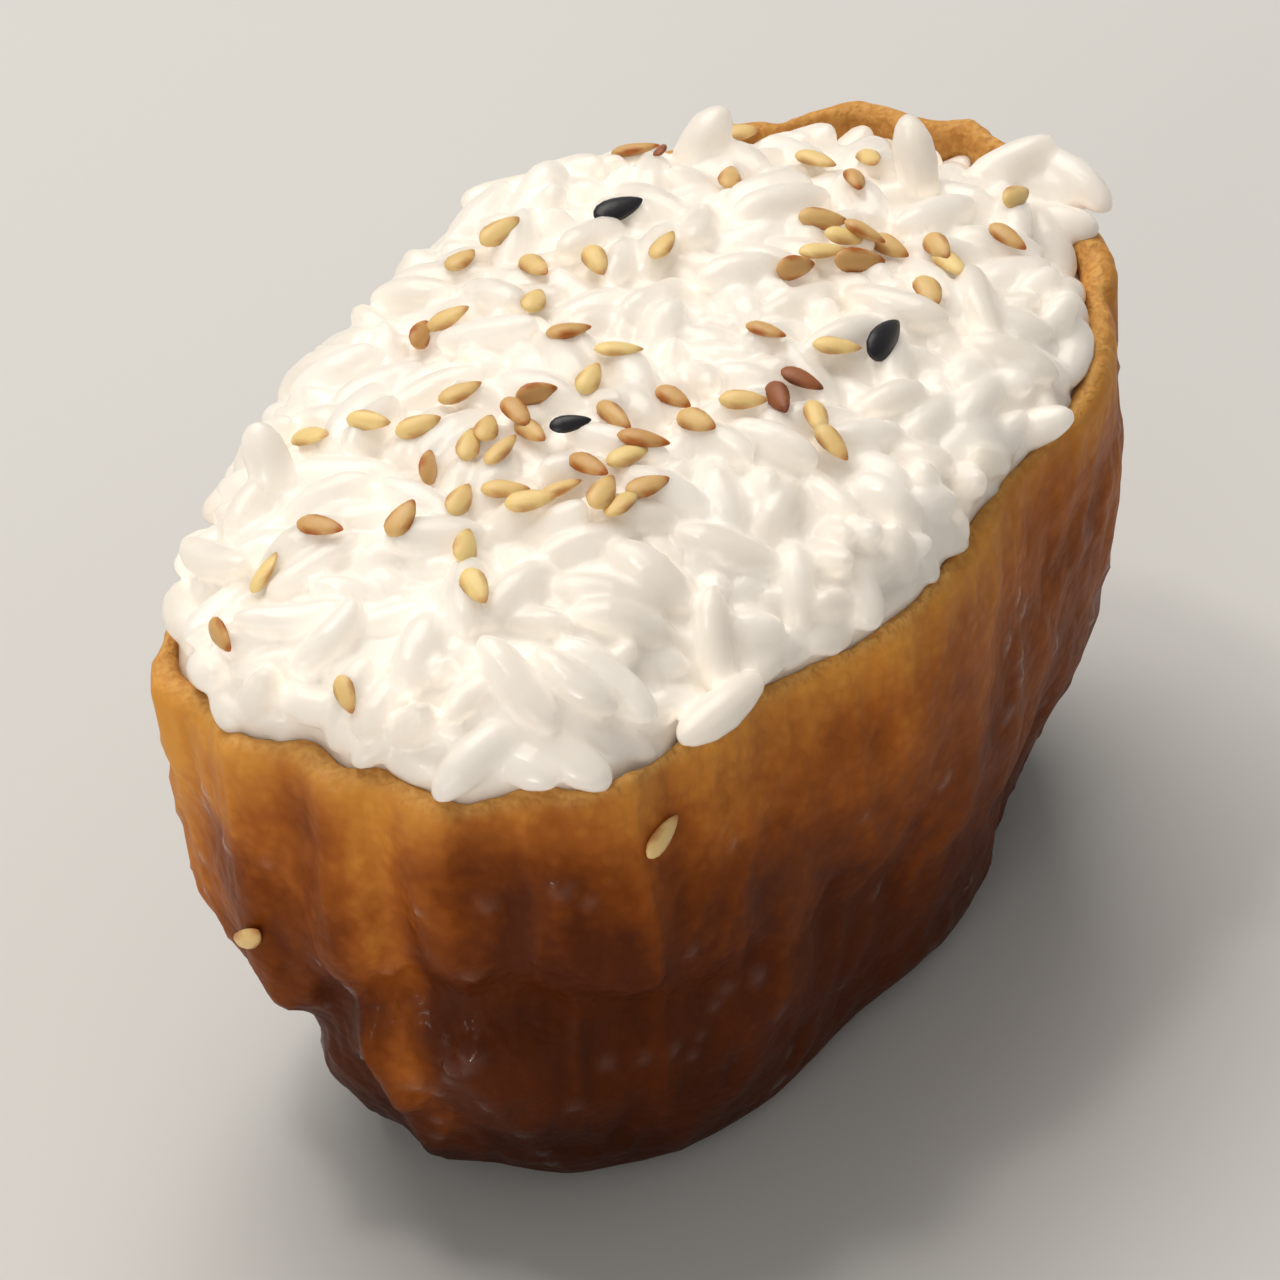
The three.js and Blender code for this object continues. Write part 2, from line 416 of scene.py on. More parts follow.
def lipOutline(steps):
    # half round, from the outer to the inner face of the skin
    radius = 0.5 * pouch["skin"]
    turn = np.linspace(0, np.pi, steps)
    height = rimHeight - pouch["lipRoundness"] * (1 - np.sin(turn))
    return np.column_stack([1 - radius + radius * np.cos(turn), height])


def wallCurve(outline, count):
    # smooth through an outline of shares and heights, at even steps in millimetres
    scale = np.array([0.5 * pouchLength, 1])
    return smoothCurve(outline * scale, count) / scale


def flatRings(start, end, count, height):
    return np.column_stack([np.linspace(start, end, count), np.full(count, height)])


def carryRound(outline, columns):
    angle, size = np.meshgrid(evenAngles(columns), outline[:, 0])
    return pouchPoints(angle, size, np.repeat(outline[:, 1:], columns, 1))


def friedTofuSkin():
    # aburaage simmered in soy and sugar: thin blistered skin over sponge, wet, its shine broken up
    look = {
        # golden at low tone to near black at high tone; the dark end carries the painted shade low down
        "stops": [(0.0, "#e09a40"), (0.12, "#cb8133"), (0.26, "#aa5f22"), (0.42, "#82400f"),
                  (0.62, "#592609"), (1.0, "#3a1706")],
        "sponge": "#dfa95f", "pores": "#cf9550",  # where the skin is cut
        # size in mm and detail: clouds of syrup, the skin's crepe, and pores of the sponge
        "noises": {"mottle": (7.0, 3.0), "grain": (1.3, 2.0), "pore": (0.5, 1.0)},
        "blister": 0.9,  # mm
        # share of the soak that each changes, and the part of the pattern that does it
        "tones": {"mottle": (0.14, 0.3, 0.7), "grain": (0.05, 0.3, 0.7), "blister": (0.04, 0.15, 0.6)},
        "bumps": {"grain": (0.3, 0.45), "blister": (0.16, 0.5), "pore": (0.15, 0.6)},  # mm, strength
    }
    material, tree = newMaterial("simmeredFriedTofuSkin")
    place = addNode(tree, "TexCoord").outputs["Object"]
    tone, cutEdge, blister = (
        addNode(tree, "Attribute", attribute_name=key).outputs["Fac"] for key in ("soak", "cutEdge", "wet"))
    fields = {key: addNode(tree, "TexNoise", {"Vector": place, "Scale": 1 / (size * mm), "Detail": detail})
              for key, (size, detail) in look["noises"].items()}
    fields["blister"] = addNode(tree, "TexVoronoi", {"Vector": place, "Scale": 1 / (look["blister"] * mm)})
    for key, (change, low, high) in look["tones"].items():
        shift = addNode(tree, "MapRange", {
            "Value": fields[key], "From Min": low, "From Max": high,
            "To Min": -0.5 * change, "To Max": 0.5 * change})
        tone = addNode(tree, "Math", {0: tone, 1: shift}, operation="ADD")
    ramp = addNode(tree, "ValToRGB", {"Fac": tone})
    setStops(ramp.color_ramp, look["stops"])
    solid = addNode(tree, "MapRange", {"Value": fields["pore"], "From Min": 0.35, "From Max": 0.62})
    sponge = addNode(tree, "MixRGB", {
        "Fac": solid, "Color1": hexColour(look["pores"]), "Color2": hexColour(look["sponge"])})
    colour = addNode(tree, "MixRGB", {"Fac": cutEdge, "Color1": ramp, "Color2": sponge})

    pores = addNode(tree, "Math", {0: cutEdge, 1: solid}, operation="MULTIPLY")
    normals, before = {}, {}
    for key, height in (("grain", fields["grain"]), ("blister", fields["blister"]), ("pore", pores)):
        depth, strength = look["bumps"][key]
        normals[key] = addNode(tree, "Bump", {
            "Height": height, "Distance": depth * mm, "Strength": strength, **before},
            invert=key == "blister")
        before = {"Normal": normals[key]}
    film = addNode(tree, "MapRange", {
        "Value": fields["mottle"], "From Min": 0.45, "From Max": 0.65, "To Min": 0.02, "To Max": 0.09})
    shader = addNode(tree, "BsdfPrincipled", {
        "Base Color": colour, "Roughness": 0.5, "IOR": 1.36, "Specular IOR Level": 0.12,
        "Subsurface Weight": 0.15, "Subsurface Radius": (1.0, 0.45, 0.15), "Subsurface Scale": 1.5 * mm,
        "Coat Weight": addNode(tree, "Math", {0: film, 1: blister}, operation="MAXIMUM"),
        "Coat Roughness": 0.16, "Coat IOR": 1.42,
        "Normal": normals["pore"], "Coat Normal": normals["blister"]})
    addNode(tree, "OutputMaterial", {"Surface": shader})
    return material


def blisterRelief(points, outer, middle):
    # each is a bell, of wetness and of height; the rows of points before outer are the outer wall
    rng = np.random.default_rng(8)
    tree = ringTree(points[:outer] - middle)
    places = [seenSpot(u, v, [tree])[0] + middle for u, v in blisters["seen"]]
    wall = points[:outer].reshape(-1, 3)
    wall = wall[(wall[:, 2] > blisters["margin"]) & (wall[:, 2] < rimHeight - blisters["margin"])]
    places = np.vstack([places, rng.choice(wall, blisters["scattered"])])
    count = len(places)
    seen = np.arange(count) < len(blisters["seen"])
    radii = np.where(seen, *(rng.uniform(*ends, count) for ends in blisters["radii"]))
    heights = radii * np.where(seen, *blisters["steepness"])
    wet, relief = np.zeros(points.shape[:-1]), np.zeros(points.shape[:-1])
    for place, radius, height in zip(places, radii, heights):
        share = bell(np.linalg.norm(points - place, axis=-1), radius)
        wet = np.maximum(wet, share)
        relief = np.maximum(relief, height * share)
    return wet, relief


def soakTone(points, below, inside, wrinkles):
    # darker downwards, partly as painted shade, with painted shade just below the rim and in creases; paler
    # on crests and seams, with clouds and patches
    x, y, z = np.moveaxis(points, -1, 0)
    nearEnd = smoothStep(-x, *soak["end"])
    # paler on crests, darker in creases and dents: partly painted shade
    crest = sum(share * wrinkles[key] for key, share in soak["crests"].items())
    crest = crest + folds(x, y, z) / soak["foldHeight"]
    pale = soak["paleCorner"] * (nearEnd * smoothStep(y, *soak["paleSide"]))
    # painted shade just below the rim, except at the corner at -X and +Y
    tone = soak["rim"] + soak["edge"] * (1 - pale) * smoothStep(below, *soak["rimShadeDepth"])
    # darker towards the bottom: partly the syrup, partly painted shade
    tone = tone + soak["wall"] * below / rimHeight
    tone = tone + soak["cloud"] * layeredNoise(points, soak["cloudSize"], 61, 2) + soak["crest"] * crest
    seams = sum(strength * bell(y - place, width) for place, width, strength in soak["seams"]) * nearEnd
    tone = tone + soak["seam"] * seams * smoothStep(below, *soak["seamDepth"])
    for place, level, halfWidth, halfHeight, change in soak["patches"]:
        tone = tone + change * bell(y - place, halfWidth) * bell(z - level, halfHeight) * nearEnd
    return tone * (1 + soak["far"] * smoothStep(x, *soak["farZone"])) + soak["inside"] * inside


def makePouch():
    # an outline up the outer wall, over the lip, down inside and in across the floor is carried round the
    # plan; each point then moves along its normal by dents, pleats, crinkles and blisters
    columns = pouch["columns"]
    outerRows, lipRows, innerRows, floorRows = pouch["rows"]
    outer = wallCurve(outerWall, outerRows)[1:]
    lip = lipOutline(lipRows)
    inner = outerWall[3:][::-1] - (pouch["skin"], 0)
    inner = wallCurve(np.vstack([inner, (pouch["floorShare"], pouch["floorSkin"])]), innerRows)
    floor = flatRings(pouch["floorShare"], pouch["poleShare"], floorRows + 1, pouch["floorSkin"])[1:]
    outline = np.vstack([outer, lip, inner, floor])
    inside = np.concatenate([
        np.zeros(len(outer)), np.linspace(0, 1, len(lip)), np.ones(len(inner) + floorRows)])
    points = carryRound(outline, columns)
    height, inside = (np.repeat(values[:, None], columns, 1) for values in (outline[:, 1], inside))

    around = np.roll(points, -1, 1) - np.roll(points, 1, 1)
    normal = unit(np.cross(around, np.gradient(points, axis=0)))
    wrinkles = {}
    for key, (depth, width, stretch, seed, layers) in pouch["wrinkles"].items():
        noise = layeredNoise(points / (1, 1, stretch), width, seed, layers)
        wrinkles[key] = 1 - 2 * abs(noise) if key in pouch["ridged"] else noise
    push = sum(pouch["wrinkles"][key][0] * relief for key, relief in wrinkles.items())
    push = smoothStep(points[..., 2], *pouch["wrinkleStart"]) * (1 - pouch["innerCalm"] * inside) * push
    shaped = points + normal * push[..., None]
    depth, width, shift = pouch["ragged"]
    ragged = depth * (layeredNoise(points * (1, 1, 0), width, 43, 2) + shift)
    shaped[..., 2] += ragged * smoothStep(height, rimHeight - pouch["raggedDepth"], rimHeight)
    shaped[..., 2] = np.maximum(shaped[..., 2], 0)
    middle = 0.5 * (points.reshape(-1, 3).min(0) + points.reshape(-1, 3).max(0)) * (1, 1, 0)
    wet, relief = blisterRelief(shaped, len(outer), middle)
    shaped += normal * relief[..., None]

    below = rimHeight - height
    cutEdge = np.maximum(np.exp(-below * (1 - inside) / soak["cutFade"]), soak["cutInside"] * inside)
    # the skin's tone, with painted shade towards the bottom, just below the rim and in creases
    tone = soakTone(points, below, inside, wrinkles)
    vertices, *faces = ringBody((0, 0, 0), shaped, (0, 0, pouch["floorSkin"]))
    tone, cutEdge, wet = (np.concatenate([[1], values.ravel(), [1]]) for values in (tone, cutEdge, wet))
    piece = makePiece(
        "pouch_skin", vertices - middle, *faces, friedTofuSkin(), "tofu_skin",
        soak=tone, cutEdge=cutEdge, wet=wet)
    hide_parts("pouch")
    return middle


# rice: a core, and the real grains over it

heap = {  # mm
    # the mound
    "moundHeight": 8, "moundLean": 0.24, "moundTilt": 0.1,
    "domeRoundness": 0.8,  # 1 makes its outline an ellipse, less makes it fuller
    "overLip": 0.4, "edgeStep": 1,  # gap over the lip, and height of the edge over that
    "bulge": 0.975, "cover": 0.955, "snug": 0.925,  # how far it reaches at +Y, at -X and -Y, and at +X
    "bulgeSide": (0.1, 0.7), "snugEnd": (0.25, 0.5),  # shares of half the width and half the length
    "lumps": (0.55, 11, 0.4, 0.3, 1.4), "lumpStart": (0.1, 0.4),  # height, pitch, two slants and a shift
    "shoulder": (1.4, 9, 15, 9),  # rice piled higher: height, x, y, half width
    "sink": (3, 0.6, 0.6),  # it drops at +X, less so on top and on the side of -Y
    "sinkZone": (0.25, 0.42), "sinkSide": (-2, 8),
    "fillGap": 0.018, "floorGap": 0.3,
    # the core
    "coreDepth": 3.5,  # how far it lies below the mound's top
    "coreReach": 0.92,
    "coreColumns": 120, "coreRows": (5, 30, 16),  # of its floor, wall and dome
    # the grains
    "grains": 930,
    "length": 6.4, "width": 2.8, "thickness": 2.45,
    "bend": 0.3, "uneven": 0.12, "unevenSize": 1.6,
    "layerDepth": 4.8,  # how deep the grains lie
    "press": 0.87,  # grains stick together closer than their own width
    "spill": 0.032, "furthest": 1.015,  # they lie further out than the mound, over the lip
    # angle, half width, change of reach: out at a shoulder, in where the lip shows
    "edgePushes": [(1.2, 0.3, 0.03), (2.45, 0.38, -0.045), (-2.3, 0.13, -0.06), (3.1, 0.04, -0.03)],
    "overRim": (0.1, 0.9),  # heights of its middle over the rim from which a grain may lie on the lip
    "highRim": 20,  # place along X past which the rim counts as risen
    "loose": [  # they stand up or hang over the rim: pixel and height of the end in the rice, and of the tip
        ((477, 714, 41.4), (468, 691, 45.6)), ((588, 622, 41.2), (601, 602, 44.6)),
        ((657, 631, 40.6), (652, 604, 45.2)), ((669, 625, 39.4), (694, 613, 40.4)),
        ((688, 614, 39.8), (710, 630, 38.8)), ((683, 624, 38.8), (703, 628, 38.2)),
        ((684, 633, 38.2), (705, 637, 38.2)), ((613, 761, 38.0), (586, 783, 37.6)),
        ((546, 632, 42.0), (553, 621, 43.0))],
    "looseLength": (5.4, 7.2), "looseGirth": (1, 1.02, 1.1),
    # how they settle
    "settleSteps": 150,
    "startReach": 0.93, "startHeights": (-2, 7), "startTilt": 0.5,  # radians
    "fall": 0.14, "easing": 0.35,  # at each step: mm down, and share of an overlap that is undone
    "listEvery": 10, "listReach": 2,  # steps that a list of neighbours holds for, and its margin
    "stopSpread": 0.3,  # of the heights at which they stop
    "stray": (-0.5, 0.1),  # how far past the edge they may lie, in half thicknesses
    "wallGap": 0.95,  # space to the wall, in half thicknesses
    # the starch between them
    "starch": 0.6,  # it fills the gaps up to this far below the grains' mean height
    "starchMean": 1.5,  # distance over which that mean is taken
    "starchDepth": 0.6,  # it stays this far below the mound's top
    "starchReach": 0.985, "starchColumns": 160, "starchRows": 50,
    "eaves": (1.6, 0.5),  # usual and least thickness of the rice at its edge, over the lip
    "neck": (0.9, 1.2),  # where it narrows inside the lip: share of the skin, mm
    "plugDepth": 6, "plugParts": (0.3, 0.65, 0.98),
    # their common skin
    "fineness": 0.23,  # mesh size at which grains and starch are joined
    "mostTriangles": 196000,
    "fieldStep": 0.5, "fieldHalf": (40, 26),  # steps and half sides of the square grids of heights
    "fieldTop": 100,
    "toneBalls": 5,  # balls in a row that stand for a grain where tones are handed out
}


def cookedRice():
    # steamed short-grain rice dressed with vinegar: milky and moist, light bleeds through the grains
    look = {"bright": "#f9f3eb", "dull": "#f3ebe0", "cloud": 2.5, "surface": 0.8}  # the last two in mm
    material, tree = newMaterial("steamedSushiRice")
    place = addNode(tree, "TexCoord").outputs["Object"]
    tone = addNode(tree, "Attribute", attribute_name="tone").outputs["Fac"]
    cloud = addNode(tree, "TexNoise", {"Vector": place, "Scale": 1 / (look["cloud"] * mm), "Detail": 1.0})
    share = addNode(tree, "MapRange", {
        "Value": addNode(tree, "Math", {0: tone, 1: cloud}, operation="ADD"),
        "From Min": 0.45, "From Max": 1.45})
    colour = addNode(tree, "MixRGB", {
        "Fac": share, "Color1": hexColour(look["dull"]), "Color2": hexColour(look["bright"])})
    skin = addNode(tree, "TexNoise", {"Vector": place, "Scale": 1 / (look["surface"] * mm), "Detail": 2.0})
    shader = addNode(tree, "BsdfPrincipled", {
        "Base Color": colour, "Roughness": 0.28, "IOR": 1.38,
        "Subsurface Weight": 1.0, "Subsurface Radius": (1.0, 0.97, 0.93), "Subsurface Scale": 3.2 * mm,
        "Coat Weight": 0.35, "Coat Roughness": 0.12, "Coat IOR": 1.33,
        "Normal": addNode(tree, "Bump", {"Height": skin, "Distance": 0.08 * mm, "Strength": 0.4})},
        subsurface_method="BURLEY")
    addNode(tree, "OutputMaterial", {"Surface": shader})
    return material


def moundReach(angle):
    alongX, alongY = planDirection(angle, 1.0)
    reach = heap["cover"] + (heap["bulge"] - heap["cover"]) * smoothStep(alongY, *heap["bulgeSide"])
    return reach + (heap["snug"] - reach) * smoothStep(alongX, *heap["snugEnd"])


def grainReach(angle):
    # the grains spill over the lip, except at +X
    alongX, alongY = planDirection(angle, 1.0)
    spill = heap["spill"] * (1 - smoothStep(alongX, *heap["snugEnd"]))
    push = sum(reach * bell(turnTo(angle, place), width) for place, width, reach in heap["edgePushes"])
    return np.minimum(moundReach(angle) + spill + push, heap["furthest"])


def moundPoints(angle, share, lowered=0.0, reach=moundReach):
    # a dome over the filled pouch, share 0 on its top and 1 at its edge, leaning to -X and with soft lumps
    neck = rimHeight + heap["overLip"]
    step = heap["edgeStep"]
    turn = np.arccos(np.clip(share ** (1 / heap["domeRoundness"]), 0, 1))
    height = neck + step + (heap["moundHeight"] - heap["overLip"] - step) * np.sin(turn)
    points = pouchPoints(angle, share * reach(angle), np.full_like(share, rimHeight))
    x, y = points[..., 0], points[..., 1]
    above = (height - neck) / heap["moundHeight"]
    lean = -heap["moundLean"] * x / (0.5 * pouchLength) + heap["moundTilt"] * y / (0.5 * pouchWidth)
    relief, pitch, first, second, shift = heap["lumps"]
    lumps = relief * wave(x + first * y, pitch) * wave(y - second * x + shift, pitch)
    depth, topLess, sideLess = heap["sink"]
    sink = depth * lengthStep(x, heap["sinkZone"]) * (1 - topLess * above)
    sink = sink * (1 - sideLess * smoothStep(-y, *heap["sinkSide"]))
    rise = points[..., 2] - rimHeight
    relief, middleX, middleY, halfWidth = heap["shoulder"]
    lumps = lumps + relief * bell(np.hypot(x - middleX, y - middleY), halfWidth)
    z = height + rise * (1 - above) + above * heap["moundHeight"] * lean
    z = z + lumps * smoothStep(above, *heap["lumpStart"])
    return np.stack([x, y, z - sink - lowered], -1)


def domeShares(reach, last, rows):
    # shares of a dome's rings, from its edge to near its top
    return reach * np.sin(np.linspace(0.5 * np.pi, last, rows))


def moundRings(columns, shares, lowered=0.0, reach=moundReach):
    angle, share = np.meshgrid(evenAngles(columns), shares)
    return moundPoints(angle, share, lowered, reach)


def makeCore(material, middle):
    # the filling: walls a hair inside the skin, and the mound lowered by a grain or so
    columns = heap["coreColumns"]
    floorRows, wallRows, domeRows = heap["coreRows"]
    inset = pouch["skin"] + heap["fillGap"]
    base = pouch["floorSkin"] + heap["floorGap"]
    wall = np.vstack([(pouch["floorShare"] - heap["fillGap"], base), outerWall[4:] - (inset, 0)])
    wall = wallCurve(wall, wallRows)
    pole = 0.05  # size of the ring beside each pole
    outline = np.vstack([flatRings(pole, wall[0, 0], floorRows + 1, base)[:-1], wall])
    dome = moundRings(columns, domeShares(heap["coreReach"], pole, domeRows), heap["coreDepth"])
    rings = np.vstack([carryRound(outline, columns), dome])
    vertices, *faces = ringBody((0, 0, base), rings, rings[-1].mean(0))
    piece = makePiece("rice_core", vertices - middle, *faces, material, "rice")
    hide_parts("rice")


def starchLayer(meanField):
    # closed slab between the grains: a plug in the pouch, then eaves over its lip
    columns = heap["starchColumns"]
    shares = domeShares(heap["starchReach"], 0.02, heap["starchRows"])
    top = moundRings(columns, shares, heap["starchDepth"], grainReach)
    between = readField(meanField, top[..., 0], top[..., 1]) - heap["starch"]
    usual, least = heap["eaves"]
    eaves = top[0] - (0, 0, usual)
    top[..., 2] = np.minimum(top[..., 2], np.maximum(between, eaves[:, 2] + least))
    share, depth = heap["neck"]
    neck = carryRound(np.array([(1 - share * pouch["skin"], rimHeight)]), columns)[0]
    neck[:, 2] = np.minimum(neck[:, 2] - depth, eaves[:, 2] - least)
    bottom = rimHeight - heap["plugDepth"]
    plug = np.stack([neck * (part, part, 0) + (0, 0, bottom) for part in heap["plugParts"]])
    rings = np.vstack([plug, neck[None], eaves[None], top])
    return ringBody((0, 0, bottom), rings, rings[-1].mean(0))


def heightField(tree):
    # heights of a surface on a square grid, by rays from above; where there is none, its lowest height
    xs, ys = (np.arange(-half, half + 0.1, heap["fieldStep"]) for half in heap["fieldHalf"])
    hits = [tree.ray_cast(Vector((x, y, heap["fieldTop"])), Vector((0, 0, -1)))[0] for x in xs for y in ys]
    field = np.array([hit.z if hit else np.inf for hit in hits]).reshape(len(xs), len(ys))
    return np.where(np.isinf(field), field.min(), field)


def blurred(field, radius):
    # running mean along both sides in turn, twice, which comes close to a bell curve
    margin = int(radius / heap["fieldStep"])
    width = 2 * margin + 1
    for _ in range(4):
        total = np.cumsum(np.pad(field, ((margin, margin), (0, 0)), mode="edge"), axis=0)
        total = np.insert(total, 0, 0, axis=0)
        field = ((total[width:] - total[:-width]) / width).T
    return field


def readField(field, x, y):
    # bilinear between the grid's heights
    u, v = (np.clip((place + half) / heap["fieldStep"], 0, count - 1.001)
            for place, half, count in zip((x, y), heap["fieldHalf"], field.shape))
    i, j = u.astype(int), v.astype(int)
    s, t = u - i, v - j
    low = field[i, j] * (1 - s) + field[i + 1, j] * s
    high = field[i, j + 1] * (1 - s) + field[i + 1, j + 1] * s
    return low * (1 - t) + high * t


def reachAround(share):
    # distance from the middle to a ring of the pouch at rim height, by polar angle
    angle = np.linspace(-np.pi, np.pi, 361)
    ring = pouchPoints(angle, np.broadcast_to(share(angle), angle.shape), np.full_like(angle, rimHeight))
    polar = np.arctan2(ring[:, 1], ring[:, 0])
    order = np.argsort(polar)
    return polar[order], np.hypot(ring[order, 0], ring[order, 1])


def settleGrains(rng, topField):
    # each grain is three balls in a row, which fall, push each other apart and stay in the mound's top layer
    count = heap["grains"]
    radius = 0.5 * heap["thickness"]
    offsets = np.array([-0.5, 0, 0.5]) * (heap["length"] - 2 * radius)
    turn = rng.uniform(0, 2 * np.pi, count)
    share = heap["startReach"] * np.sqrt(rng.uniform(0, 1, count))
    centre = moundPoints(turn, share)
    centre[:, 2] += rng.uniform(*heap["startHeights"], count)
    heading, tilt = rng.uniform(0, 2 * np.pi, count), rng.normal(0, heap["startTilt"], count)
    flat = np.cos(tilt)
    direction = np.column_stack([np.cos(heading) * flat, np.sin(heading) * flat, np.sin(tilt)])
    owner = np.repeat(np.arange(count), 3)
    lift = np.repeat(rng.normal(0, heap["stopSpread"], count), 3)
    stray = np.repeat(rng.uniform(*heap["stray"], count), 3)  # some grains hang over the edge
    nearest = 2 * radius * heap["press"]
    innerReach = reachAround(lambda angle: 1 - pouch["skin"])
    outerReach = reachAround(grainReach)
    for step in range(heap["settleSteps"]):
        balls = (centre[:, None] + offsets[:, None] * direction[:, None]).reshape(-1, 3)
        balls[:, 2] -= heap["fall"]
        if step % heap["listEvery"] == 0:  # neighbours near enough to meet within the next steps
            squares = (balls ** 2).sum(1)
            distance2 = squares[:, None] + squares - 2 * balls @ balls.T
            first, second = np.nonzero(distance2 < (nearest + heap["listReach"]) ** 2)
            keep = owner[first] < owner[second]
            first, second = first[keep], second[keep]
        apart = balls[first] - balls[second]
        distance = np.maximum(np.linalg.norm(apart, axis=1, keepdims=True), 1e-6)
        move = heap["easing"] * np.maximum(nearest - distance, 0) * apart / distance
        for axis in range(3):
            balls[:, axis] += np.bincount(first, move[:, axis], len(balls))
            balls[:, axis] -= np.bincount(second, move[:, axis], len(balls))
        polar, away = np.arctan2(balls[:, 1], balls[:, 0]), np.hypot(balls[:, 0], balls[:, 1])
        overRim = balls[:, 2] - rimHeight - pouch["rimRise"] * (balls[:, 0] > heap["highRim"])
        above = smoothStep(overRim, *heap["overRim"])
        inside = np.interp(polar, *innerReach) - heap["wallGap"] * radius
        limit = inside + (np.interp(polar, *outerReach) + stray * radius - inside) * above
        balls[:, :2] *= np.minimum(1, limit / np.maximum(away, 1e-6))[:, None]
        lid = readField(topField, balls[:, 0], balls[:, 1]) - 0.5 * radius + lift
        balls[:, 2] = np.clip(balls[:, 2], lid - heap["layerDepth"] + radius, lid)
        balls = balls.reshape(count, 3, 3)
        centre = balls.mean(1)
        direction = unit(balls[:, 2] - balls[:, 0])
    return centre, direction


def grainShape():
    # unit grain: a little blunter than an ellipsoid
    along = np.array([-0.96, -0.82, -0.5, 0.0, 0.45, 0.78, 0.95])
    return roundedBody(along, (1 - abs(along) ** 2.2) ** 0.52)


def makeGrains(rng, topField, middle):
    # the settled and the loose grains, each bent and a little uneven
    centre, direction = settleGrains(rng, topField)
    print("rice settled: top", centre[:, 2].max().round(1), "mm")
    spans = []
    for foot, tip in heap["loose"]:
        foot, tip = levelSpot(*foot), levelSpot(*tip)
        spans.append(np.linalg.norm(tip - foot))
        centre = np.vstack([centre, 0.5 * (foot + tip) + middle])
        direction = np.vstack([direction, unit(tip - foot)])
    count = len(centre)
    side = unit(np.cross(rng.normal(0, 1, (count, 3)) * (0.5, 0.5, 0) + (0, 0, 1), direction))
    axes = np.stack([direction, side, np.cross(direction, side)], 1)
    half = 0.5 * np.array([heap["length"], heap["width"], heap["thickness"]])
    sizes = half * naturalSpread(rng, count)
    sizes[-len(spans):] *= heap["looseGirth"]
    sizes[-len(spans):, 0] = 0.5 * np.clip(spans, *heap["looseLength"])
    shape, *faces = grainShape()
    points, quads, triangles = joinCopies(shape, *faces, centre, axes, sizes)
    bend = rng.normal(0, heap["bend"], (count, 1, 1)) * shape[None, :, :1] ** 2
    points += bend * axes[:, 2][:, None]
    uneven = heap["uneven"] * softNoise(points, heap["unevenSize"], 71)
    points += unit(points - centre[:, None]) * uneven[..., None]
    row = np.linspace(-0.8, 0.8, heap["toneBalls"])[:, None]
    balls = centre[:, None] + row * sizes[:, :1, None] * direction[:, None]
    return points.reshape(-1, 3), quads, triangles, balls.reshape(-1, 3)


def grainTones(rng, corners, balls, parts=40):
    # every point of the skin takes the tone of the nearest grain, from 0 to 1
    perGrain = heap["toneBalls"]
    tones = np.repeat(rng.uniform(0, 1, len(balls) // perGrain), perGrain)
    squares = (balls ** 2).sum(1)
    nearest = [np.argmin(squares - 2 * part @ balls.T, axis=1) for part in np.array_split(corners, parts)]
    return tones[np.concatenate(nearest)]


def finished(piece):
    # the piece as its modifiers leave it
    bpy.context.view_layer.update()
    return piece.evaluated_get(bpy.context.evaluated_depsgraph_get())


def makeRice(material, middle):
    # the grains and the starch between them become one skin, softened where they stick together
    columns, rows = 120, 40
    dome = moundRings(columns, np.linspace(0.02, 1, rows), reach=grainReach)
    topField = heightField(ringTree(dome))
    rng = np.random.default_rng(5)
    points, quads, triangles, balls = makeGrains(rng, topField, middle)
    meanField = blurred(heightField(treeOf(points, quads, triangles)), heap["starchMean"])
    starch, starchQuads, starchTriangles = starchLayer(meanField)
    first = len(points)
    piece = makePiece(
        "rice_grains", np.vstack([points, starch]) - middle, np.vstack([quads, starchQuads + first]),
        np.vstack([triangles, starchTriangles + first]), material, "rice")
    remesh = piece.modifiers.new("stick", "REMESH")
    remesh.mode, remesh.voxel_size, remesh.use_smooth_shade = "VOXEL", heap["fineness"] * mm, True
    soften = piece.modifiers.new("soften", "SMOOTH")
    soften.factor, soften.iterations = 0.5, 1
    found = len(finished(piece).data.polygons)
    thin = piece.modifiers.new("thin", "DECIMATE")
    thin.ratio = min(1.0, heap["mostTriangles"] / (2 * found))
    whole = bpy.data.meshes.new_from_object(finished(piece))
    piece.modifiers.clear()
    piece.data = whole
    whole.name = "rice_grains"
    whole.calc_loop_triangles()
    print("rice surface:", found, "faces, thinned to", len(whole.loop_triangles), "triangles")
    addValues(whole, "tone", grainTones(rng, meshCorners(whole), balls - middle))
    return meshTree(whole)


# sesame

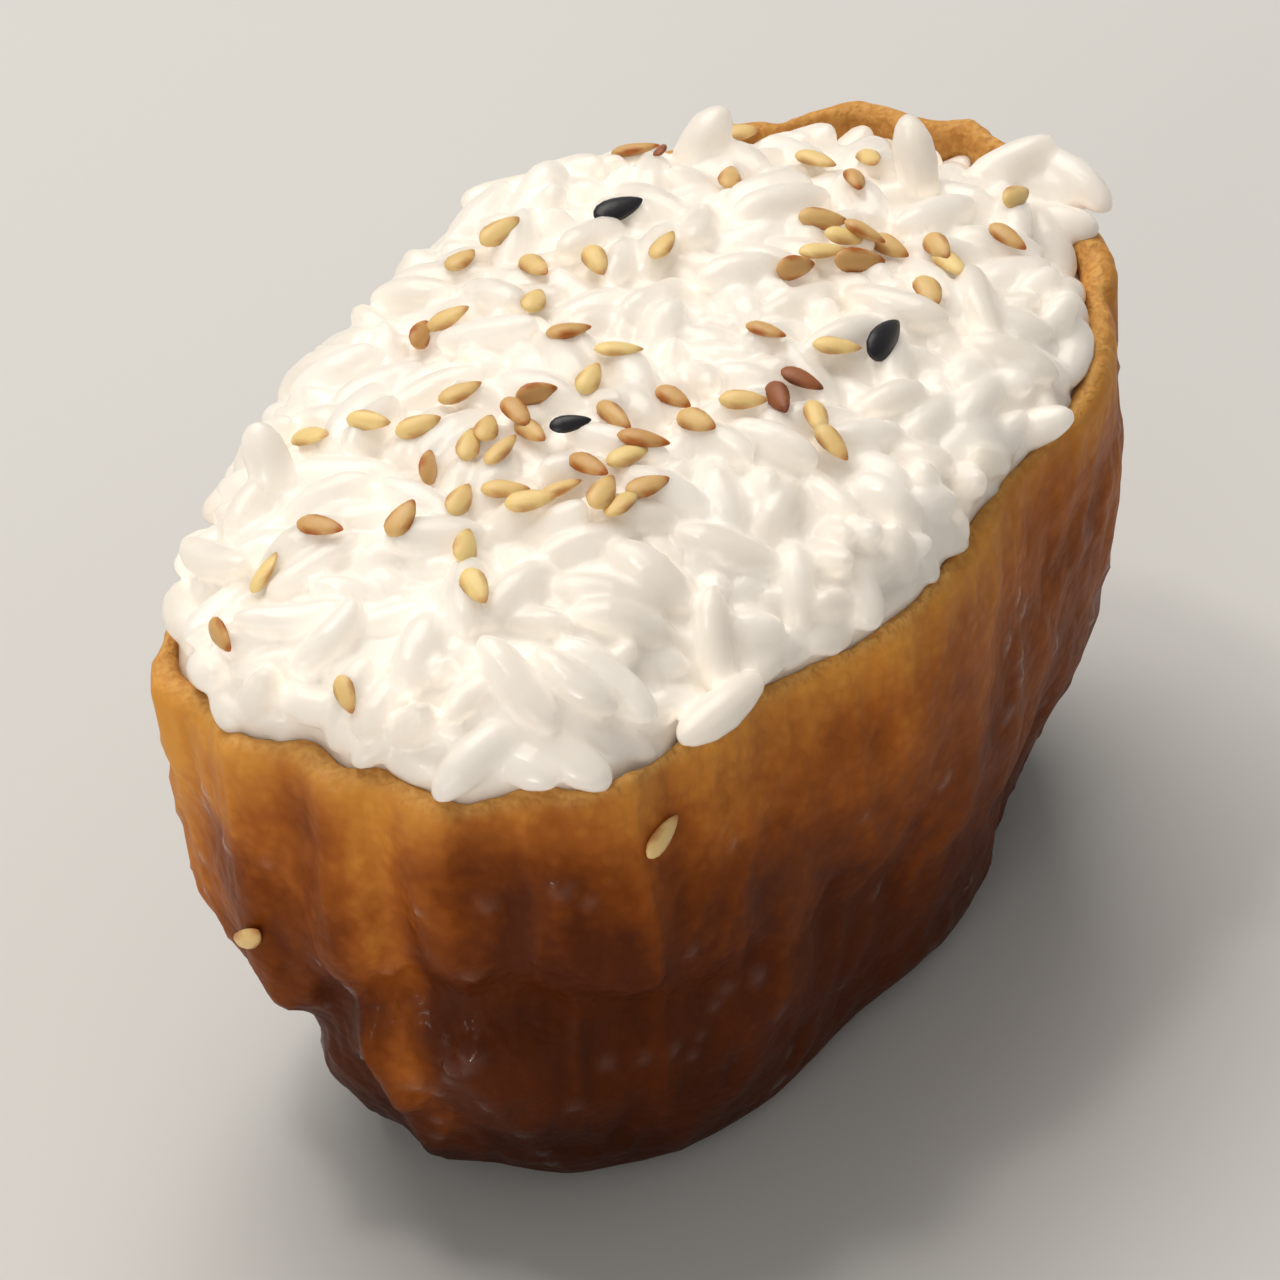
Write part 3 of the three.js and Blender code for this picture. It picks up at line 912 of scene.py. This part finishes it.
sesame = {
    "length": 2.95, "width": 1.42, "thickness": 0.75,  # mm
    "kinds": {
        # hull: name, colours of its edge and of its middle, roughness, how much light bleeds through it
        # places: pixel at which a seed is seen, angle of its long side there, and its size if unusual
        "golden_sesame": {
            "hull": ("goldenSesameHull", "#b2651b", "#f8da94", 0.45, 0.25), "randomSeed": 3,
            "pale": [
                (538, 638, 35), (547.5, 660, 60), (565, 648, -62), (583.5, 642, 55), (605, 611, 10),
                (626, 621, -20), (632, 671.5, -5), (571, 671, 0), (563, 680, 60), (515, 693, 20),
                (485, 696, 0), (529, 698, 75), (546.5, 714, 10), (528, 728, 78), (531, 738, -60),
                (574, 703, 25), (606, 686, 0), (626, 692, -70), (473, 735, 60), (628, 644, 5),
                (634, 641, -10), (641.5, 617.5, -60), (664, 649, -40), (501, 691.5, -6)],
            "golden": [
                (527, 646, 38), (548, 649, -35), (524, 663, 28), (527, 685, 25), (534, 693, 70),
                (546.5, 696, -35), (538, 699, 45), (539, 712, 0), (555, 712, 22), (526.5, 714.5, 60),
                (572, 714, 40), (602.5, 624, 80), (628, 635, -5), (647, 642.5, -28), (660.5, 645, -50),
                (658, 655, -62), (682.5, 628, 28), (593, 691, -22), (630.5, 698, -50),
                (494.5, 767.5, -70, 0.82), (468, 835, 40), (583, 807, 55), (566.5, 712.5, 60)],
            "roasted": [
                (557, 666, 10), (542, 691, -50), (570, 691.5, -40), (578, 696, -10), (563, 705, -26),
                (586.5, 684.5, -30), (510.5, 718.5, 57), (487.5, 721.5, -10), (459.5, 751, -57),
                (612.5, 665.5, -17), (636.5, 625, -70), (640, 638, -28), (680, 640, -35), (579, 710.5, 20),
                (576, 615.5, 10)],
            "onEdge": [(516.5, 668.5, 62), (548, 684.5, 15), (620, 650, 10), (638, 648, -2), (518, 705, 80)],
        },
        "dark_toasted_sesame": {
            "hull": ("darkToastedSesameHull", "#7d4020", "#b97444", 0.5, 0.1), "randomSeed": 4,
            "roasted": [(622, 681, -25), (615.5, 686.5, -62), (583.5, 616.5, 70, 0.6)],
        },
        "black_sesame": {
            "hull": ("blackSesameHull", "#16151a", "#26242a", 0.42, 0.0), "randomSeed": 6,
            "facing": [(571.5, 633.5, 22, 1.1), (645, 669, 52, 1.3), (557.5, 692, 10, 0.85)],
        },
    },
    "tones": {"pale": 0.95, "golden": 0.75, "roasted": 0.5, "onEdge": 0.45, "facing": 0.6},
    "toneSpread": 0.12,
    "rolls": {"onEdge": 62, "facing": 30},  # degrees by which the far side is raised
    "usualRoll": (10, 12),  # and its spread
    # a seed rests on the rice within this share of its length; share of it that lies lower; its middle's
    # height over that, in thicknesses
    "rest": (0.45, 0.9, 0.2),
    "stack": (2, 0.8, 2.6),  # mm; seeds that near lift it by that height, less as they are further away
    "grazing": -0.4,  # past this cosine, a seed seen from the side isn't stretched further
    "edge": (0.45, 0.9), "edgeShade": 0.6,  # shares of its width between which painted shade darkens it, and how much
    "tip": (0.5, 1), "tipTone": 0.65,
}


def sesameHull(name, dark, light, roughness, weight):
    # toasted sesame: a thin papery hull over an oily seed, satin; the tone it reads carries painted shade
    # along the edge
    grain = 0.35  # mm
    material, tree = newMaterial(name)
    place = addNode(tree, "TexCoord").outputs["Object"]
    tone = addNode(tree, "Attribute", attribute_name="tone").outputs["Fac"]
    hull = addNode(tree, "TexNoise", {"Vector": place, "Scale": 1 / (grain * mm), "Detail": 2.0})
    shader = addNode(tree, "BsdfPrincipled", {
        "Base Color": addNode(tree, "MixRGB", {
            "Fac": tone, "Color1": hexColour(dark), "Color2": hexColour(light)}),
        "Roughness": roughness, "IOR": 1.47,
        "Subsurface Weight": weight, "Subsurface Radius": (1.0, 0.6, 0.3), "Subsurface Scale": 0.5 * mm,
        "Normal": addNode(tree, "Bump", {"Height": hull, "Distance": 0.05 * mm, "Strength": 0.5})})
    addNode(tree, "OutputMaterial", {"Surface": shader})
    return material


def seedShape():
    # flattened drop: round at one end, pointed at the other, with a soft ridge along its middle
    along = np.array([-0.98, -0.88, -0.65, -0.35, 0.0, 0.35, 0.65, 0.87, 0.97])
    return roundedBody(along, (1 - abs(along) ** 2.2) ** 0.6 * (1 - 0.34 * along), ridge=0.3)


def placeSeeds(name, kind, trees, taken):
    # each seed lies flat on what its line of sight meets, and on the seeds that are there already
    rng = np.random.default_rng(kind["randomSeed"])
    restReach, restShare, restHeight = sesame["rest"]
    reach, height, fade = sesame["stack"]
    centre, axes, scales, tones = [], [], [], []
    for group in sesame["tones"]:
        for u, v, angle, *scale in kind.get(group, []):
            spot, tree = seenSpot(u, v, trees)
            near = tree.find_nearest_range(Vector(spot), sesame["length"])
            upward = unit(np.mean([hit[1] for hit in near], axis=0))
            below = [np.array(hit[0]) - spot for hit in near if hit[3] < restReach * sesame["length"]]
            level = np.quantile(below @ upward, restShare) + restHeight * sesame["thickness"]
            for other in taken:
                distance = np.linalg.norm(other - spot)
                if distance < reach:
                    level = max(level, (other - spot) @ upward + height * (1 - distance / fade))
            way = sightLine(u, v)
            angle = math.radians(angle)
            seen = viewRight * math.cos(angle) + viewUp * math.sin(angle)
            along = unit(seen - way * (seen @ upward) / min(way @ upward, sesame["grazing"]))
            along = unit(along - upward * (along @ upward))
            roll = math.radians(sesame["rolls"].get(group, rng.normal(*sesame["usualRoll"])))
            across = np.cross(upward, along) * math.cos(roll) + upward * math.sin(roll)
            centre.append(spot + level * upward)
            taken.append(centre[-1])
            axes.append([along, across, np.cross(along, across)])
            scales.append(scale[0] if scale else 1.0)
            tones.append(sesame["tones"][group] + rng.uniform(-sesame["toneSpread"], sesame["toneSpread"]))
    centre, axes = np.array(centre), np.array(axes)
    shape, *faces = seedShape()
    half = 0.5 * np.array([sesame["length"], sesame["width"], sesame["thickness"]])
    sizes = half * np.array(scales)[:, None] * naturalSpread(rng, len(centre))
    points, quads, triangles = joinCopies(shape, *faces, centre, axes, sizes)
    flank = np.hypot(shape[:, 1], shape[:, 2]) * abs(shape[:, 1]) / 1.2  # about 1 where it is widest
    # painted shade along both edges of each seed
    darker = sesame["edgeShade"] * smoothStep(flank, *sesame["edge"])
    darker = darker + sesame["tipTone"] * smoothStep(shape[:, 0], *sesame["tip"])
    tone = np.array(tones)[:, None] - darker
    hull = sesameHull(*kind["hull"])
    return makePiece(name, points.reshape(-1, 3), quads, triangles, hull, name, tone=tone.ravel())


# camera, light and floor

studio = {  # m and W
    "floor": "#d9d8d6", "floorHalf": 2.0,
    "air": "#faf8f4", "airStrength": 0.28,
    "lamp": "#fffaf2",
    "target": (0, 0, 0.03),
    "lights": {  # place, size, power; the sparks are small, for glints
        "overheadSoftbox": ((0.22, 0.32, 0.72), (0.7, 0.5), 4.7),
        "overheadSpark": ((-0.1, 0.15, 0.7), (0.08, 0.08), 0.6),
        "frontFill": ((-0.65, -0.12, 0.24), (0.35, 0.35), 0.8),
        "lowSpark": ((-0.65, 0.0, 0.06), (0.06, 0.06), 0.5),
    },
}


def makeCamera():
    data = bpy.data.cameras.new("camera")
    data.sensor_width = 36
    data.lens = 0.5 * data.sensor_width / math.tan(math.radians(0.5 * view["angle"]))
    data.clip_start, data.clip_end = 0.01, 20
    camera = addObject("camera", data)
    turn = Matrix(np.column_stack([viewRight, viewUp, -viewAhead]).tolist()).to_4x4()
    camera.matrix_world = Matrix.Translation(Vector(view["position"]) * mm) @ turn
    scene.camera = camera


def addLight(name, place, size, power):
    data = bpy.data.lights.new(name, "AREA")
    data.shape = "RECTANGLE"
    data.size, data.size_y = size
    data.energy = power
    data.color = hexColour(studio["lamp"])[:3]
    lamp = addObject(name, data)
    lamp.location = place
    lamp.rotation_euler = (Vector(studio["target"]) - Vector(place)).to_track_quat("-Z", "Y").to_euler()


def makeStudio():
    # the floor is matt paint: pale and even, with soft shadows and no shine
    material, tree = newMaterial("paleFloorPaint")
    shader = addNode(tree, "BsdfPrincipled", {"Base Color": hexColour(studio["floor"]), "Roughness": 0.7})
    addNode(tree, "OutputMaterial", {"Surface": shader})
    half = studio["floorHalf"]
    mesh = bpy.data.meshes.new("floor")
    corners = [(x * half, y * half, 0) for x, y in ((-1, -1), (1, -1), (1, 1), (-1, 1))]
    mesh.from_pydata(corners, [], [(0, 1, 2, 3)])
    mesh.materials.append(material)
    addObject("floor", mesh)
    world = bpy.data.worlds.new("studio")
    world.use_nodes = True
    background = world.node_tree.nodes["Background"].inputs
    background["Color"].default_value = hexColour(studio["air"])
    background["Strength"].default_value = studio["airStrength"]
    scene.world = world
    for name, light in studio["lights"].items():
        addLight(name, *light)
    scene.view_settings.view_transform = "Standard"


# build

makeCamera()
makeStudio()
print("camera and studio ready")

middle = makePouch()
print("pouch made")

riceMaterial = cookedRice()
makeCore(riceMaterial, middle)
riceTree = makeRice(riceMaterial, middle)
print("rice made")

taken = []
surfaces = [riceTree, meshTree(bpy.data.objects["pouch_skin"].data)]
for name, kind in sesame["kinds"].items():
    placeSeeds(name, kind, surfaces, taken)
print("sesame placed:", len(taken), "seeds")
